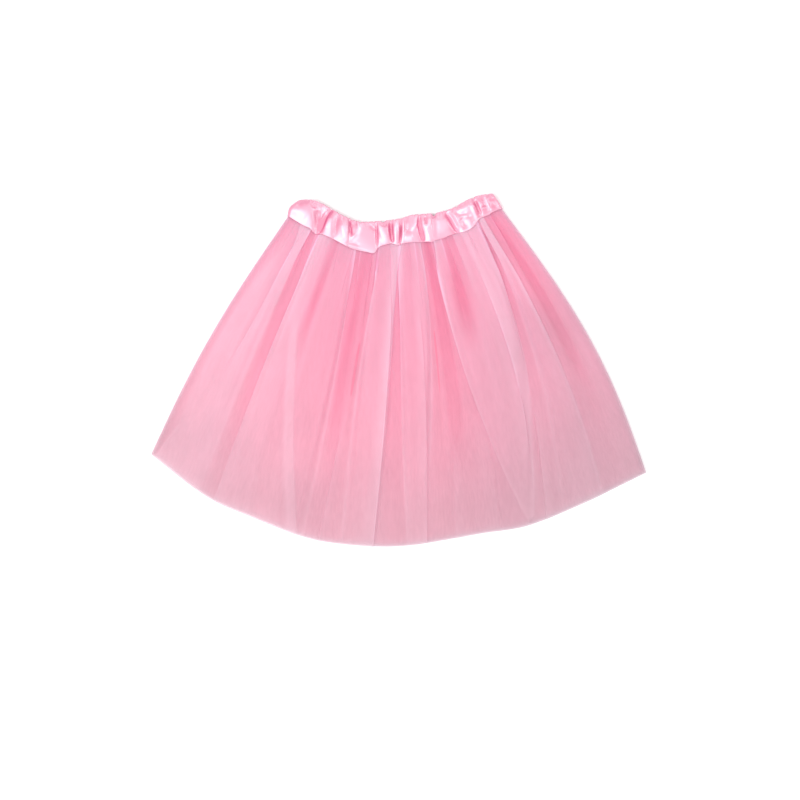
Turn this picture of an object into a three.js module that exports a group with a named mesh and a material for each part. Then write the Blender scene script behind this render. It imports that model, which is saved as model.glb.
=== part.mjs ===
// A child's tulle skirt laid flat: a ruched satin waistband over two gathered layers of tulle.
// Millimetres. +X runs to the right, +Y from the hem to the waist, +Z up from the surface below.
// The origin is the middle of the footprint, on that surface.

import * as THREE from "three";

// Cloth, as laid: the four tulle walls lie on each other, PLY_GAP apart
const TULLE_WALL = 1.2;
const BAND_WALL = 2.4; // casing and elastic together
const PLY_GAP = 0.3;
const SEAM_GAP = 0.5; // between the waistband's lower edge and the tulle sewn to it
const BAND_SLIT = 1.6; // between the waistband's front and back

// Plan of the front: the lower edge of the waistband, the hem, and the sides that join them
const SIDE_BOW_LEFT = 8; // how far each side swells out of a straight line, halfway down
const SIDE_BOW_RIGHT = 16;
const INNER_HEM_RISE = 0.015; // the inner layer is this share of its length shorter

// How finely the walls are divided
const FRONT_STEPS = 104;
const INNER_FRONT_STEPS = 52;
const BACK_STEPS = 32;
const TURN_STEPS = 4; // half circle at each side
const OUTER_LENGTH_STEPS = 11;
const INNER_LENGTH_STEPS = 8;
const BAND_ACROSS_STEPS = 5;

// Waistband from its left end to its right: its top edge, and the seam that the tulle hangs from
const BAND_ROWS = [
  { topX: -92, topY: 157, seamX: -103, seamY: 143 },
  { topX: -77, topY: 156.5, seamX: -87, seamY: 134 },
  { topX: -64, topY: 150, seamX: -71, seamY: 125 },
  { topX: -50, topY: 142, seamX: -53, seamY: 117 },
  { topX: -36, topY: 137, seamX: -34, seamY: 111.5 },
  { topX: -24, topY: 137, seamX: -23, seamY: 109.5 },
  { topX: -13, topY: 138, seamX: -14, seamY: 115 },
  { topX: 0, topY: 139.5, seamX: -1, seamY: 117 },
  { topX: 12, topY: 143, seamX: 11, seamY: 118.5 },
  { topX: 29, topY: 144.5, seamX: 30, seamY: 119 },
  { topX: 46, topY: 148, seamX: 48, seamY: 125 },
  { topX: 58, topY: 154, seamX: 61, seamY: 130 },
  { topX: 70, topY: 160, seamX: 75, seamY: 142 },
  { topX: 86, topY: 163, seamX: 96, seamY: 149.5 },
];

// Hem of the front, from its left corner to its right
const HEM_ROWS = [
  { x: -229.8, y: -77 },
  { x: -178, y: -116.5 },
  { x: -140, y: -134 },
  { x: -83, y: -155.5 },
  { x: -39, y: -162 },
  { x: 6, y: -162.5 },
  { x: 80, y: -150.5 },
  { x: 119, y: -144 },
  { x: 173, y: -122 },
  { x: 229.5, y: -94.5 },
];

// Folds that lie on the front as raised panels, from left to right. Each edge runs from the waist
// to the hem, at these places along X, and swings aside by its bend halfway down. Rise is the
// panel's height, and each slope is the width over which that side comes down at the hem.
const PANELS = [
  { waistLeft: -96, hemLeft: -215, bendLeft: 10, waistRight: -78, hemRight: -202, bendRight: 5,
    rise: 2.4, slopeLeft: 7, slopeRight: 13 },
  { waistLeft: -73, hemLeft: -172, bendLeft: 0, waistRight: -39, hemRight: -101, bendRight: 5,
    rise: 5.2, slopeLeft: 9, slopeRight: 10 },
  { waistLeft: -19, hemLeft: -54, bendLeft: -5, waistRight: 0, hemRight: -21, bendRight: -2,
    rise: 4.6, slopeLeft: 12, slopeRight: 9 },
  { waistLeft: 1.5, hemLeft: 10, bendLeft: -4, waistRight: 24, hemRight: 28, bendRight: 2,
    rise: 5.4, slopeLeft: 9, slopeRight: 8 },
  { waistLeft: 32, hemLeft: 122, bendLeft: -13, waistRight: 69, hemRight: 146, bendRight: 8,
    rise: 5.8, slopeLeft: 10, slopeRight: 9 },
  { waistLeft: 82, hemLeft: 196, bendLeft: 0, waistRight: 93, hemRight: 221, bendRight: 0,
    rise: 3.2, slopeLeft: 9, slopeRight: 12 },
];

// Slim ridges on and between the panels, which begin some way down the skirt
const RIDGES = [
  { waist: -83, hem: -104, begins: 0.3, rise: 1.6, width: 15 },
  { waist: -55, hem: -139, begins: 0.1, rise: 1.2, width: 16 },
  { waist: -30, hem: -78, begins: 0.45, rise: 1.4, width: 18 },
  { waist: -8, hem: -33, begins: 0.05, rise: 1.3, width: 12 },
  { waist: 12, hem: 19, begins: 0.1, rise: 1.1, width: 12 },
  { waist: 29, hem: 58, begins: 0.5, rise: 1.8, width: 24 },
  { waist: 36, hem: 88, begins: 0.55, rise: 1.5, width: 22 },
  { waist: 58, hem: 124, begins: 0, rise: 1.6, width: 15 },
  { waist: 75, hem: 160, begins: 0.2, rise: 2.2, width: 18 },
];

// Low waves of the inner layer's front, between the folds of the outer one
const INNER_RIDGES = [
  { waist: -88, hem: -190, begins: 0, rise: 1.2, width: 30 },
  { waist: -30, hem: -82, begins: 0, rise: 1.6, width: 36 },
  { waist: 28, hem: 62, begins: 0, rise: 1.6, width: 40 },
  { waist: 76, hem: 176, begins: 0, rise: 1.4, width: 34 },
];

// Puffs of the ruched satin, by their middle and width along X. The gathers lie between them.
const PUFFS = [
  { middle: -89, width: 25, rise: 4.6, lean: 5 },
  { middle: -71.5, width: 10, rise: 2.4, lean: 6 },
  { middle: -55.5, width: 23, rise: 4.2, lean: 4 },
  { middle: -38.5, width: 11, rise: 3.2, lean: -4 },
  { middle: -25.5, width: 15, rise: 2.4, lean: 3 },
  { middle: -13, width: 10, rise: 3.4, lean: 3 },
  { middle: -2.5, width: 11, rise: 2.6, lean: -2 },
  { middle: 11, width: 16, rise: 3.4, lean: 1 },
  { middle: 24, width: 10, rise: 3.6, lean: -3 },
  { middle: 38, width: 18, rise: 2.4, lean: -2 },
  { middle: 50.5, width: 7, rise: 1.6, lean: -3 },
  { middle: 64, width: 20, rise: 4.8, lean: -5 },
  { middle: 79, width: 10, rise: 2.8, lean: -4 },
  { middle: 90, width: 12, rise: 3.4, lean: -4 },
];

// Gathers in the tulle just below the seam, which die out down the skirt
const GATHERS = 24;
const GATHER_RISE = 0.9;
const GATHER_REACH = 0.3;
const GATHER_DRIFT = 0.35; // how unevenly they are spaced, as a share of one gather

const { lerp, clamp, smoothstep } = THREE.MathUtils;
const QUARTER_TURN = Math.PI / 2;

// The stack of walls, from the surface up
const INNER_BACK_Z = TULLE_WALL + PLY_GAP;
const INNER_FRONT_Z = INNER_BACK_Z + TULLE_WALL + PLY_GAP;
const OUTER_FRONT_Z = INNER_FRONT_Z + TULLE_WALL + PLY_GAP;
const TURN_Z = (OUTER_FRONT_Z + TULLE_WALL) / 2; // the middle of the stack, where its sides turn
const EDGE_INSET = TURN_Z; // the turns are round, about a line this far inside the outline

// A smooth line through rows of a table: the value of one column at a place along another
function lineThrough(rows, along, value) {
  const slopes = rows.map((row, i) => {
    const before = rows[Math.max(i - 1, 0)];
    const after = rows[Math.min(i + 1, rows.length - 1)];
    return (after[value] - before[value]) / (after[along] - before[along]);
  });
  return (place) => {
    let i = rows.findIndex((row) => row[along] > place) - 1;
    if (i < 0) i = place < rows[0][along] ? 0 : rows.length - 2;
    const span = rows[i + 1][along] - rows[i][along];
    const s = clamp((place - rows[i][along]) / span, 0, 1);
    const rest = 1 - s;
    return rows[i][value] * (1 + 2 * s) * rest * rest
      + rows[i + 1][value] * (3 - 2 * s) * s * s
      + (slopes[i] * rest - slopes[i + 1] * s) * s * rest * span;
  };
}

const seamLine = lineThrough(BAND_ROWS, "seamX", "seamY");
const hemLine = lineThrough(HEM_ROWS, "x", "y");
const WAIST_LEFT = BAND_ROWS[0].seamX;
const WAIST_RIGHT = BAND_ROWS.at(-1).seamX;
const HEM_LEFT = HEM_ROWS[0].x;
const HEM_RIGHT = HEM_ROWS.at(-1).x;

const acrossWaist = (x) => (x - WAIST_LEFT) / (WAIST_RIGHT - WAIST_LEFT);
const acrossHem = (x) => (x - HEM_LEFT) / (HEM_RIGHT - HEM_LEFT);

// Plan point of the skirt: across runs 0 to 1 from the left side, down 0 to 1 from the waist
function planPoint(across, down) {
  const waistX = lerp(WAIST_LEFT, WAIST_RIGHT, across);
  const hemX = lerp(HEM_LEFT, HEM_RIGHT, across);
  const bow = across < 0.5 ? (2 * across - 1) * SIDE_BOW_LEFT : (2 * across - 1) * SIDE_BOW_RIGHT;
  return new THREE.Vector2(
    lerp(waistX, hemX, down) + bow * Math.sin(Math.PI * down),
    lerp(seamLine(waistX) - SEAM_GAP, hemLine(hemX), down),
  );
}

// Width of the laid skirt at a height, which turns millimetres across into shares
function widthAt(down) {
  return planPoint(1, down).x - planPoint(0, down).x;
}

// Where a fold's edge crosses a height, as a share across
function foldLine(waist, hem, bend, down) {
  const straight = lerp(acrossWaist(waist), acrossHem(hem), down);
  return straight + (bend * Math.sin(Math.PI * down)) / widthAt(down);
}

// Folds are low where the waistband holds them and full from a third of the way down
const swell = (down) => lerp(0.35, 1, smoothstep(down, 0, 0.35)) * lerp(1, 0.8, smoothstep(down, 0.6, 1));

function panelHeight(panel, across, down) {
  const width = widthAt(down);
  const narrowing = lerp(0.4, 1, down);
  const left = foldLine(panel.waistLeft, panel.hemLeft, panel.bendLeft, down);
  const right = foldLine(panel.waistRight, panel.hemRight, panel.bendRight, down);
  const up = smoothstep(across, left - (panel.slopeLeft * narrowing) / width, left);
  const fall = 1 - smoothstep(across, right, right + (panel.slopeRight * narrowing) / width);
  return panel.rise * swell(down) * up * fall;
}

function ridgeHeight(ridge, across, down) {
  const halfWidth = (ridge.width * lerp(0.45, 1, down)) / 2 / widthAt(down);
  const middle = foldLine(ridge.waist, ridge.hem, 0, down);
  const offset = clamp(Math.abs(across - middle) / halfWidth, 0, 1);
  const grown = ridge.begins > 0 ? smoothstep(down, ridge.begins, ridge.begins + 0.25) : swell(down);
  return ridge.rise * grown * (1 + Math.cos(Math.PI * offset)) / 2;
}

function gatherHeight(across, down) {
  const fade = 1 - smoothstep(down, 0, GATHER_REACH);
  const drift = GATHER_DRIFT * Math.sin(5 * Math.PI * across);
  return GATHER_RISE * fade * (1 - Math.cos(2 * Math.PI * (GATHERS * across + drift))) / 2;
}

// Everything settles to nothing at the two sides, where the cloth turns under
function sideFade(across, down) {
  const reach = 14 / widthAt(down);
  return smoothstep(across, 0, reach) * smoothstep(1 - across, 0, reach);
}

const sumOf = (rows, height) => rows.reduce((total, row) => total + height(row), 0);

function innerFrontRise(across, down) {
  const waves = sumOf(INNER_RIDGES, (ridge) => ridgeHeight(ridge, across, down));
  return sideFade(across, down) * waves;
}

function outerFrontRise(across, down) {
  const folds = sumOf(PANELS, (panel) => panelHeight(panel, across, down))
    + sumOf(RIDGES, (ridge) => ridgeHeight(ridge, across, down))
    + gatherHeight(across, down);
  return innerFrontRise(across, down) + sideFade(across, down) * folds;
}

// Height that a sloping wall takes up to keep its thickness
function slantedWall(rise, across, down) {
  const step = 0.002;
  const slope = (rise(across + step, down) - rise(across - step, down)) / (2 * step * widthAt(down));
  return TULLE_WALL * Math.hypot(1, slope);
}

// Upper face of the inner layer's front, and how much higher it is than a flat wall's
const innerWallGain = (across, down) => slantedWall(innerFrontRise, across, down) - TULLE_WALL;

const innerFront = {
  lower: (across, down) => INNER_FRONT_Z + innerFrontRise(across, down),
  wall: (across, down) => slantedWall(innerFrontRise, across, down),
};
const outerFront = {
  lower: (across, down) => OUTER_FRONT_Z + outerFrontRise(across, down) + innerWallGain(across, down),
  wall: (across, down) => slantedWall(outerFrontRise, across, down),
};

// A solid swept round a closed way: each loop is the closed section at one station
function sweptSolid(loops) {
  const count = loops[0].length;
  const index = [];
  loops.forEach((loop, i) => {
    const here = i * count;
    const next = ((i + 1) % loops.length) * count;
    for (let j = 0; j < count; j += 1) {
      const k = (j + 1) % count;
      index.push(here + j, here + k, next + j, next + j, here + k, next + k);
    }
  });
  const positions = loops.flat().flatMap((point) => [point.x, point.y, point.z]);
  const geometry = new THREE.BufferGeometry();
  geometry.setAttribute("position", new THREE.Float32BufferAttribute(positions, 3));
  geometry.setIndex(index);
  geometry.computeVertexNormals();
  return geometry;
}

// Stations round a laid tube: across the front, round the right side, back below, round the left
function tubeStations(frontSteps) {
  const stations = [];
  for (let i = 0; i <= frontSteps; i += 1) stations.push({ kind: "front", share: i / frontSteps });
  for (let i = 1; i < TURN_STEPS; i += 1) {
    stations.push({ kind: "turn", share: 1, angle: QUARTER_TURN * (1 - (2 * i) / TURN_STEPS) });
  }
  for (let i = 0; i <= BACK_STEPS; i += 1) stations.push({ kind: "back", share: 1 - i / BACK_STEPS });
  for (let i = 1; i < TURN_STEPS; i += 1) {
    stations.push({ kind: "turn", share: 0, angle: QUARTER_TURN * ((2 * i) / TURN_STEPS - 1) });
  }
  return stations;
}

// One layer of tulle: a wall round the whole skirt, open at the waist and the hem
function tulleLayer({ front, backZ, frontSteps, lengthSteps, lastDown }) {
  const outerRadius = TURN_Z - backZ;
  const innerRadius = outerRadius - TULLE_WALL;

  const wallPair = (station, down) => {
    const inset = EDGE_INSET / widthAt(down);
    const across = lerp(inset, 1 - inset, station.share);
    const plan = planPoint(across, down);
    if (station.kind === "front") {
      const z = front.lower(across, down);
      return [z + front.wall(across, down), z].map((level) => new THREE.Vector3(plan.x, plan.y, level));
    }
    if (station.kind === "back") {
      return [backZ, backZ + TULLE_WALL].map((level) => new THREE.Vector3(plan.x, plan.y, level));
    }
    const outward = planPoint(station.share, down).sub(plan).normalize();
    return [outerRadius, innerRadius].map((radius) => new THREE.Vector3(
      plan.x + outward.x * radius * Math.cos(station.angle),
      plan.y + outward.y * radius * Math.cos(station.angle),
      TURN_Z + radius * Math.sin(station.angle),
    ));
  };

  const loops = tubeStations(frontSteps).map((station) => {
    const pairs = Array.from({ length: lengthSteps + 1 }, (_, i) => {
      return wallPair(station, (lastDown * i) / lengthSteps);
    });
    const outside = pairs.map((pair) => pair[0]);
    const inside = pairs.map((pair) => pair[1]).reverse();
    return [...outside, ...inside];
  });
  return sweptSolid(loops);
}

// Plan point of the waistband: along runs 0 to 1 from its left end, across 0 to 1 from its top edge
const bandTopX = lineThrough(BAND_ROWS, "seamX", "topX");
const bandTopY = lineThrough(BAND_ROWS, "seamX", "topY");

function bandPoint(along, across) {
  const seamX = lerp(WAIST_LEFT, WAIST_RIGHT, along);
  return new THREE.Vector2(
    lerp(bandTopX(seamX), seamX, across),
    lerp(bandTopY(seamX), seamLine(seamX), across),
  );
}

// Satin stands up in puffs between the gathers, fullest along the middle of the band
function puffRise(along, across) {
  const middleX = bandPoint(along, 0.5).x;
  const fullness = Math.sqrt(Math.sin(Math.PI * across));
  return fullness * PUFFS.reduce((highest, puff) => {
    const offset = (2 * (middleX + puff.lean * (across - 0.5) - puff.middle)) / puff.width;
    return Math.max(highest, puff.rise * (1 - offset * offset));
  }, 0);
}

function waistband() {
  const innerRadius = BAND_SLIT / 2;
  const outerRadius = innerRadius + BAND_WALL;
  const inset = outerRadius / widthAt(0);

  const wallPoint = (station, across, outside) => {
    const along = lerp(inset, 1 - inset, station.share);
    const plan = bandPoint(along, across);
    const radius = outside ? outerRadius : innerRadius;
    const puff = outside ? puffRise(along, across) : 0;
    if (station.kind === "front") return new THREE.Vector3(plan.x, plan.y, outerRadius + radius + puff);
    if (station.kind === "back") return new THREE.Vector3(plan.x, plan.y, outerRadius - radius);
    const outward = bandPoint(station.share, across).sub(plan).normalize();
    return new THREE.Vector3(
      plan.x + outward.x * radius * Math.cos(station.angle),
      plan.y + outward.y * radius * Math.cos(station.angle),
      outerRadius + radius * Math.sin(station.angle),
    );
  };

  const loops = tubeStations(FRONT_STEPS).map((station) => {
    const outside = [];
    for (let i = 0; i <= BAND_ACROSS_STEPS; i += 1) {
      outside.push(wallPoint(station, i / BAND_ACROSS_STEPS, true));
    }
    return [...outside, wallPoint(station, 1, false), wallPoint(station, 0.5, false),
      wallPoint(station, 0, false)];
  });
  return sweptSolid(loops);
}

function namedMesh(name, geometry, colour, roughness) {
  const material = new THREE.MeshStandardMaterial({ color: colour, roughness, metalness: 0 });
  const mesh = new THREE.Mesh(geometry, material);
  mesh.name = name;
  return mesh;
}

const skirt = new THREE.Group();
skirt.add(
  namedMesh("waistband", waistband(), 0xf8b3cb, 0.35),
  namedMesh("outer_tulle", tulleLayer({
    front: outerFront,
    backZ: 0,
    frontSteps: FRONT_STEPS,
    lengthSteps: OUTER_LENGTH_STEPS,
    lastDown: 1,
  }), 0xfcb4cd, 0.8),
  namedMesh("inner_tulle", tulleLayer({
    front: innerFront,
    backZ: INNER_BACK_Z,
    frontSteps: INNER_FRONT_STEPS,
    lengthSteps: INNER_LENGTH_STEPS,
    lastDown: 1 - INNER_HEM_RISE,
  }), 0xf88da9, 0.8),
);

export default skirt;
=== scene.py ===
"""A child's tulle skirt laid flat: a ruched satin waistband over two gathered layers of tulle.

Sizes are in millimetres until a mesh is made. +X runs to the right, +Y from the hem to the waist
and +Z up from the surface that the skirt lies on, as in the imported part.
"""

import logging
import math
from dataclasses import dataclass, field
from enum import Enum

import bpy
import numpy as np
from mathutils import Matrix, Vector


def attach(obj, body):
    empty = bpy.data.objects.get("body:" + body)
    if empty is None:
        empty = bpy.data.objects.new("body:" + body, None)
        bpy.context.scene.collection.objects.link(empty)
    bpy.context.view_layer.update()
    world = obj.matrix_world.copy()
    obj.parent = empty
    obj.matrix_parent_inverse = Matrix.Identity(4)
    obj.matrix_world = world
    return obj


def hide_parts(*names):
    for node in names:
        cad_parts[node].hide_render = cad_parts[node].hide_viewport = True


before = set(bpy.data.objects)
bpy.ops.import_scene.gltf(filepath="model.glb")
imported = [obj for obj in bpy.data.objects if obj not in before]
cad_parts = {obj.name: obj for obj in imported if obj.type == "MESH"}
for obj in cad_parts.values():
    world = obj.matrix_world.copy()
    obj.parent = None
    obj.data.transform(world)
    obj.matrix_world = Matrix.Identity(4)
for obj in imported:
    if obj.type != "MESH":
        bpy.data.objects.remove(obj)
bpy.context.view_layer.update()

log = logging.getLogger("tulle_skirt")

Colour = tuple[float, float, float]
Feed = bpy.types.NodeSocket | float | tuple[float, ...]

MM = 0.001
CLOTH_MAP = "cloth"

# The stack of cloth, from the surface up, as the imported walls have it
TULLE_WALL = 1.2
PLY_GAP = 0.3
OUTER_BACK_Z = TULLE_WALL / 2
INNER_BACK_Z = OUTER_BACK_Z + TULLE_WALL + PLY_GAP
INNER_FRONT_Z = INNER_BACK_Z + TULLE_WALL + PLY_GAP
OUTER_FRONT_Z = INNER_FRONT_Z + TULLE_WALL + PLY_GAP
TURN_Z = (OUTER_BACK_Z + OUTER_FRONT_Z) / 2

SIDE_REACH = 14.0  # the folds die out over this width at each side
FULL_TURN = 2 * math.pi
SMALLEST = 1e-6  # keeps a division away from zero


class Slot(Enum):
    """The record's material slots."""

    SATIN = "satin"
    OUTER_TULLE = "outer_tulle"
    INNER_TULLE = "inner_tulle"


class Lie(Enum):
    """How a stretch of a laid tube lies: on top, turned under at a side, or beneath."""

    FRONT = "front"
    TURN = "turn"
    BACK = "back"


def blend(low: np.ndarray, high: np.ndarray, share: np.ndarray) -> np.ndarray:
    """Return the values between low and high at a share."""
    return low + (high - low) * share


def ease(value: np.ndarray, start: np.ndarray, end: np.ndarray) -> np.ndarray:
    """Rise smoothly from 0 to 1.

    Args:
        value: Where to read the rise.
        start: Where it leaves 0.
        end: Where it reaches 1.

    Returns:
        The eased share, the same shape as value.
    """
    share = np.clip((value - start) / (end - start), 0.0, 1.0)
    return share * share * (3.0 - 2.0 * share)


@dataclass(frozen=True)
class SmoothLine:
    """A smooth line through a few given points, read as one value against another."""

    places: tuple[float, ...]
    values: tuple[float, ...]

    def at(self, place: np.ndarray) -> np.ndarray:
        """Read the line.

        Args:
            place: Where to read it; past its ends it stays level.

        Returns:
            The line's value at each place.
        """
        places = np.array(self.places)
        values = np.array(self.values)
        count = len(places)
        before = np.maximum(np.arange(count) - 1, 0)
        after = np.minimum(np.arange(count) + 1, count - 1)
        slopes = (values[after] - values[before]) / (places[after] - places[before])
        i = np.clip(np.searchsorted(places, place, side="right") - 1, 0, count - 2)
        span = places[i + 1] - places[i]
        s = np.clip((place - places[i]) / span, 0.0, 1.0)
        rest = 1.0 - s
        bend = (slopes[i] * rest - slopes[i + 1] * s) * s * rest * span
        return values[i] * (1 + 2 * s) * rest**2 + values[i + 1] * (3 - 2 * s) * s**2 + bend


# The waist seam and the waistband's top edge, from left to right, and then the hem of the front
SEAM_X = (-103, -87, -71, -53, -34, -23, -14, -1, 11, 30, 48, 61, 75, 96)
SEAM = SmoothLine(SEAM_X, (143, 134, 125, 117, 111.5, 109.5, 115, 117, 118.5, 119, 125, 130, 142, 149.5))
BAND_TOP_X = SmoothLine(SEAM_X, (-92, -77, -64, -50, -36, -24, -13, 0, 12, 29, 46, 58, 70, 86))
BAND_TOP_Y = SmoothLine(
    SEAM_X, (157, 156.5, 150, 142, 137, 137, 138, 139.5, 143, 144.5, 148, 154, 160, 163)
)
HEM = SmoothLine(
    (-229.8, -178, -140, -83, -39, 6, 80, 119, 173, 229.5),
    (-77, -116.5, -134, -155.5, -162, -162.5, -150.5, -144, -122, -94.5),
)


@dataclass(frozen=True)
class SkirtPlan:
    """The laid skirt seen from above, between the waist seam and the hem."""

    waist_left: float = -103.0
    waist_right: float = 96.0
    hem_left: float = -229.8
    hem_right: float = 229.5
    side_bow_left: float = 8.0
    side_bow_right: float = 16.0
    seam_gap: float = 0.5

    def point(self, across: np.ndarray, down: np.ndarray) -> tuple[np.ndarray, np.ndarray]:
        """Place a point of the skirt.

        Args:
            across: 0 at the left side to 1 at the right.
            down: 0 at the waist seam to 1 at the hem.

        Returns:
            Its x and y.
        """
        waist_x = blend(self.waist_left, self.waist_right, across)
        hem_x = blend(self.hem_left, self.hem_right, across)
        bow = np.where(across < 0.5, self.side_bow_left, self.side_bow_right) * (2 * across - 1)
        x = blend(waist_x, hem_x, down) + bow * np.sin(np.pi * np.clip(down, 0, 1))
        y = blend(SEAM.at(waist_x) - self.seam_gap, HEM.at(hem_x), down)
        return x, y

    def width(self, down: np.ndarray) -> np.ndarray:
        """Return how wide the laid skirt is at a height, from side to side."""
        return self.point(np.ones_like(down), down)[0] - self.point(np.zeros_like(down), down)[0]

    def crease(self, waist: float, hem: float, bend: float, down: np.ndarray) -> np.ndarray:
        """Follow a crease down the skirt.

        Args:
            waist: Its x at the waist seam.
            hem: Its x at the hem.
            bend: How far it swings to the right of a straight line, halfway down.
            down: Where to read it.

        Returns:
            Its place across, as a share of the width.
        """
        at_waist = (waist - self.waist_left) / (self.waist_right - self.waist_left)
        at_hem = (hem - self.hem_left) / (self.hem_right - self.hem_left)
        return blend(at_waist, at_hem, down) + bend * np.sin(np.pi * down) / self.width(down)


PLAN = SkirtPlan()


@dataclass(frozen=True)
class FoldShape:
    """What a fold does to the cloth at each point."""

    rise: np.ndarray
    shift: np.ndarray
    bunched_and_lit: np.ndarray


WAIST_SWELL = 0.35
HEM_SWELL = 0.5


def swell(down: np.ndarray) -> np.ndarray:
    """Return how full the folds are at a height: full below the waist, then slowly flatter."""
    return blend(WAIST_SWELL, 1.0, ease(down, 0.0, 0.35)) * blend(1.0, HEM_SWELL, ease(down, 0.45, 1.0))


@dataclass(frozen=True)
class Panel:
    """A pleat that lies on the skirt as a raised panel and laps over the cloth at its sides.

    Its sides start as a low lip at the folded edge and swell from there towards its middle. Each
    glow says how thick the net is with bunching along that side and paints it lighter there, partly
    a painted highlight; each soft says how far the folded edge opens out at the hem. The folded edge
    is the outer share of each lap, and laps and slopes narrow towards the waist.
    """

    waist_left: float
    hem_left: float
    bend_left: float
    waist_right: float
    hem_right: float
    bend_right: float
    rise: float
    slope_left: float
    slope_right: float
    lap_left: float
    lap_right: float
    glow_left: float
    glow_right: float
    lip: float = 0.7
    soft_left: float = 4.0
    soft_right: float = 4.0
    edge_glow: float = 0.5
    edge_width: float = 2.4
    edge_share: float = 0.25
    lap_at_waist: float = 0.3
    lap_at_hem: float = 0.6
    slope_at_waist: float = 0.4
    opens: float = 1.5
    glow_falls: float = 1.6

    def shape(self, across: np.ndarray, down: np.ndarray) -> FoldShape:
        """Raise the panel and pull its sides over its neighbours.

        Args:
            across: Place along the cloth, as a share of the width.
            down: Height on the skirt.

        Returns:
            The rise, the shift and the bunching.
        """
        width = PLAN.width(down)
        narrowing = blend(self.lap_at_waist, self.lap_at_hem, down)
        lap_left = self.lap_left * narrowing / width
        lap_right = self.lap_right * narrowing / width
        body_share = 1 - self.edge_share
        left = PLAN.crease(self.waist_left, self.hem_left, self.bend_left, down) + body_share * lap_left
        right = PLAN.crease(self.waist_right, self.hem_right, self.bend_right, down) - body_share * lap_right
        opened = np.clip(down, 0, 1) ** self.opens / width
        turn_left = self.edge_share * lap_left + self.soft_left * opened
        turn_right = self.edge_share * lap_right + self.soft_right * opened
        on = ease(across, left - turn_left, left + turn_left)
        on = on * (1.0 - ease(across, right - turn_right, right + turn_right))
        slope_left = self.slope_left * blend(self.slope_at_waist, 1.0, down) / width
        slope_right = self.slope_right * blend(self.slope_at_waist, 1.0, down) / width
        body = ease(across, left, left + slope_left) * (1.0 - ease(across, right - slope_right, right))
        lip = min(self.lip, self.rise)
        rise = swell(down) * (lip * on + (self.rise - lip) * body * on)
        inside = np.clip((across - left) / (right - left), 0.0, 1.0)
        glow = self.glow_left * (1.0 - inside) ** self.glow_falls
        glow = glow + self.glow_right * inside**self.glow_falls
        # Painted highlight: a lighter line along each folded edge, partly the doubled net there
        for edge in (left, right):
            glow = glow + self.edge_glow * np.exp(-(((across - edge) * width / self.edge_width) ** 2))
        return FoldShape(rise, on * blend(-lap_left, lap_right, inside), on * glow)


@dataclass(frozen=True)
class Ridge:
    """A slim fold that may lean over to one side, so that its edge is crisp there.

    A rise below 0 makes it a trough. It narrows towards the waist. Its glow paints the net lighter along the
    fold or, below 0, deeper in the trough: partly thicker or thinner net, partly painted highlight and
    painted shade.
    """

    waist: float
    hem: float
    begins: float
    rise: float
    width: float
    lean: float = 0.0
    glow: float = 0.3
    ends: float = 2.0
    bend: float = 0.0
    width_at_waist: float = 0.4
    grows_over: float = 0.25
    dies_over: float = 0.3

    def shape(self, across: np.ndarray, down: np.ndarray) -> FoldShape:
        """Raise the ridge and lean it over.

        Args:
            across: Place along the cloth, as a share of the width.
            down: Height on the skirt.

        Returns:
            The rise, the shift and the bunching.
        """
        width = PLAN.width(down)
        narrowing = blend(self.width_at_waist, 1.0, down)
        middle = PLAN.crease(self.waist, self.hem, self.bend, down)
        offset = np.clip(np.abs(across - middle) * 2 * width / (self.width * narrowing), 0.0, 1.0)
        if self.begins > 0:
            grown = ease(down, self.begins, self.begins + self.grows_over)
        else:
            grown = swell(down)
        grown = grown * (1.0 - ease(down, self.ends - self.dies_over, self.ends))
        bump = grown * (1.0 + np.cos(np.pi * offset)) / 2
        return FoldShape(self.rise * bump, self.lean * narrowing * bump / width, self.glow * bump)


@dataclass(frozen=True)
class Gathers:
    """Small gathers below the waist seam, which die out down the skirt.

    Each pair of numbers is the range from which a gather's own value is drawn, where 1 is even
    spacing or the full size.
    """

    count: int
    rise: float
    lean: float
    reach: float
    seed: int
    drifts: tuple[float, float] = (-0.35, 0.35)
    halves: tuple[float, float] = (0.32, 0.62)
    reaches: tuple[float, float] = (0.5, 1.3)
    heights: tuple[float, float] = (0.45, 1.0)
    bunching: tuple[float, float] = (-0.1, 0.3)

    def shape(self, across: np.ndarray, down: np.ndarray) -> FoldShape:
        """Raise the gathers, each of its own height, spacing and reach.

        Args:
            across: Place along the cloth, as a share of the width.
            down: Height on the skirt.

        Returns:
            The rise, the shift and the bunching.
        """
        draw = np.random.default_rng(self.seed)
        rise = np.zeros_like(across)
        shift = np.zeros_like(across)
        bunched_and_lit = np.zeros_like(across)
        width = PLAN.width(down)
        for i in range(self.count):
            middle = (i + 0.5 + draw.uniform(*self.drifts)) / self.count
            half = draw.uniform(*self.halves) / self.count
            reach = self.reach * draw.uniform(*self.reaches)
            height = draw.uniform(*self.heights)
            side = draw.choice((-1.0, 1.0))
            offset = np.clip(np.abs(across - middle) / half, 0.0, 1.0)
            bump = height * (1.0 - ease(down, 0.0, reach)) * (1.0 + np.cos(np.pi * offset)) / 2
            rise += self.rise * bump
            shift += side * self.lean * bump / width
            bunched_and_lit += draw.uniform(*self.bunching) * bump
        return FoldShape(rise, shift, bunched_and_lit)


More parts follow.
